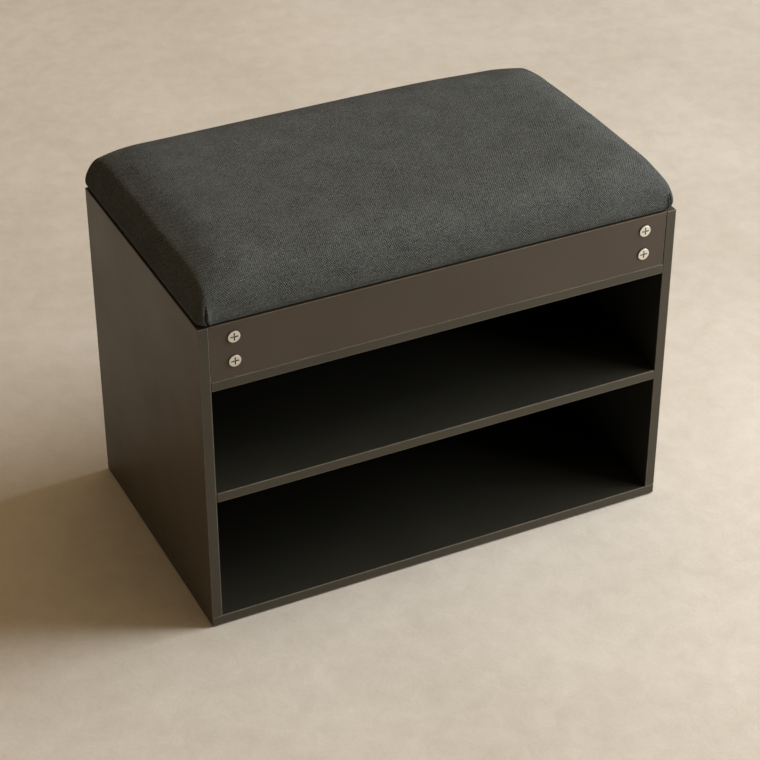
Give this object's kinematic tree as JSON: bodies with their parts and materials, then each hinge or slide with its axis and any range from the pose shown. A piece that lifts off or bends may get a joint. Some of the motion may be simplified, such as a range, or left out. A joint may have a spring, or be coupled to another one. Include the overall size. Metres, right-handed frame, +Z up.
{
  "type": "storage bench",
  "caption": "Entryway storage bench: open shoe bays between board sides, under a closed compartment whose padded fabric seat lifts as a hinged lid.",
  "frame": {"origin": "on the floor under the centre of the bounding box", "axes": "+X to the right in a front view, the open bays face -Y, the hinges are at +Y, +Z up"},
  "size_m": [0.6, 0.3592, 0.4707],
  "materials": {
    "faced_board": "matt dark taupe melamine-faced board with matching edge band",
    "hardboard": "thin dark hardboard",
    "chipboard": "raw chipboard",
    "pine": "planed pine",
    "beech": "fluted beech dowel",
    "linen": "heathered charcoal linen-look upholstery weave",
    "foam": "open-cell upholstery foam",
    "dust_cloth": "black non-woven cloth",
    "zinc_plate": "satin zinc plate",
    "steel": "satin steel",
    "rubber": "matt black"
  },
  "bodies": {
    "carcass": {"left_side_panel": "faced_board", "right_side_panel": "faced_board", "bottom_panel": "faced_board", "middle_shelf": "faced_board", "storage_floor": "faced_board", "front_rail": "faced_board", "rear_rail": "faced_board", "back_panel": "hardboard", "corner_block_left": "pine", "rail_bolt_upper_left": "zinc_plate", "insert_nut_upper_left": "zinc_plate", "block_screw_upper_left": "steel", "rail_bolt_lower_left": "zinc_plate", "insert_nut_lower_left": "zinc_plate", "block_screw_lower_left": "steel", "shelf_pin_front_left": "steel", "floor_dowel_front_left": "beech", "base_screw_front_left": "steel", "glide_front_left": "rubber", "shelf_pin_rear_left": "steel", "floor_dowel_rear_left": "beech", "base_screw_rear_left": "steel", "glide_rear_left": "rubber", "rear_rail_dowel_left": "beech", "hinge_frame_leaf_left": "steel", "hinge_pin_left": "steel", "hinge_frame_screw_inner_left": "steel", "hinge_frame_screw_outer_left": "steel", "corner_block_right": "pine", "rail_bolt_upper_right": "zinc_plate", "insert_nut_upper_right": "zinc_plate", "block_screw_upper_right": "steel", "rail_bolt_lower_right": "zinc_plate", "insert_nut_lower_right": "zinc_plate", "block_screw_lower_right": "steel", "shelf_pin_front_right": "steel", "floor_dowel_front_right": "beech", "base_screw_front_right": "steel", "glide_front_right": "rubber", "shelf_pin_rear_right": "steel", "floor_dowel_rear_right": "beech", "base_screw_rear_right": "steel", "glide_rear_right": "rubber", "rear_rail_dowel_right": "beech", "hinge_frame_leaf_right": "steel", "hinge_pin_right": "steel", "hinge_frame_screw_inner_right": "steel", "hinge_frame_screw_outer_right": "steel"},
    "lid": {"hinge_lid_leaf_left": "steel", "hinge_lid_screw_inner_left": "steel", "hinge_lid_screw_outer_left": "steel", "lid_bumper_left": "rubber", "hinge_lid_leaf_right": "steel", "hinge_lid_screw_inner_right": "steel", "hinge_lid_screw_outer_right": "steel", "lid_bumper_right": "rubber", "lid_board": "chipboard", "seat_foam": "foam", "seat_cover": "linen", "dust_cover": "dust_cloth"}
  },
  "joints": [
    {"name": "lid_hinge", "type": "hinge", "parent": "carcass", "child": "lid", "pos_m": [0, 0.17655, 0.4082], "axis": [-1, 0, 0], "range_deg": [0, 100]}
  ]
}
